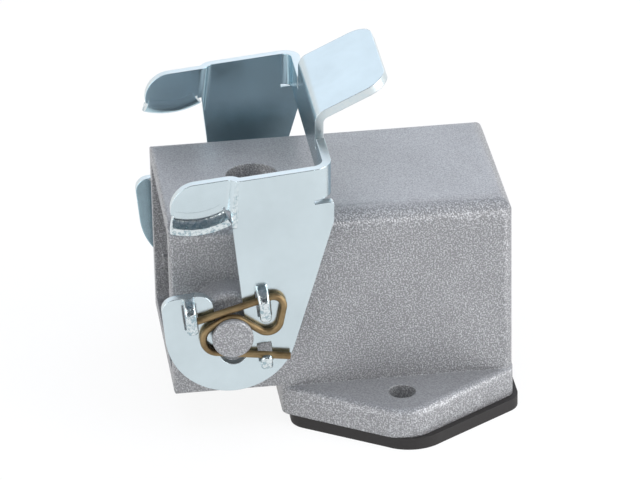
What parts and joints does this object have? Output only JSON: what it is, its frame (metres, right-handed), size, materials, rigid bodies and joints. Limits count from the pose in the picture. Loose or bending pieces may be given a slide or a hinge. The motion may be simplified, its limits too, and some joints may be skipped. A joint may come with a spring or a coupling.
{
  "type": "connector housing",
  "caption": "Angled panel-mount die-cast connector housing with a square mouth to the side, rubber flange gasket and a folded steel locking lever hung on side studs by spring wires.",
  "frame": {"origin": "middle of the line between the panel screw holes, on the panel's face, which is the underside of the flange gasket", "axes": "+Z away from the panel, -X out of the mouth, Y along the line of the screw holes and along the lever's pivot"},
  "size_m": [0.0426, 0.0402, 0.0425],
  "materials": {
    "painted_casting": "grey hammer-finish paint over a metal die-casting",
    "gasket_rubber": "matt black rubber",
    "zinc_plated_sheet": "bright zinc-plated steel sheet, blue passivated",
    "spring_wire": "brown-bronze spring wire"
  },
  "bodies": {
    "housing_body": {"housing": "painted_casting", "flange_gasket": "gasket_rubber"},
    "lever_body": {"locking_lever": "zinc_plated_sheet", "spring_clip_near": "spring_wire", "spring_clip_far": "spring_wire"}
  },
  "joints": [
    {"name": "lever_hinge", "type": "hinge", "parent": "housing_body", "child": "lever_body", "pos_m": [-0.0201, 0, 0.0155], "axis": [0, -1, 0], "range_deg": [-16.5, 85]}
  ]
}
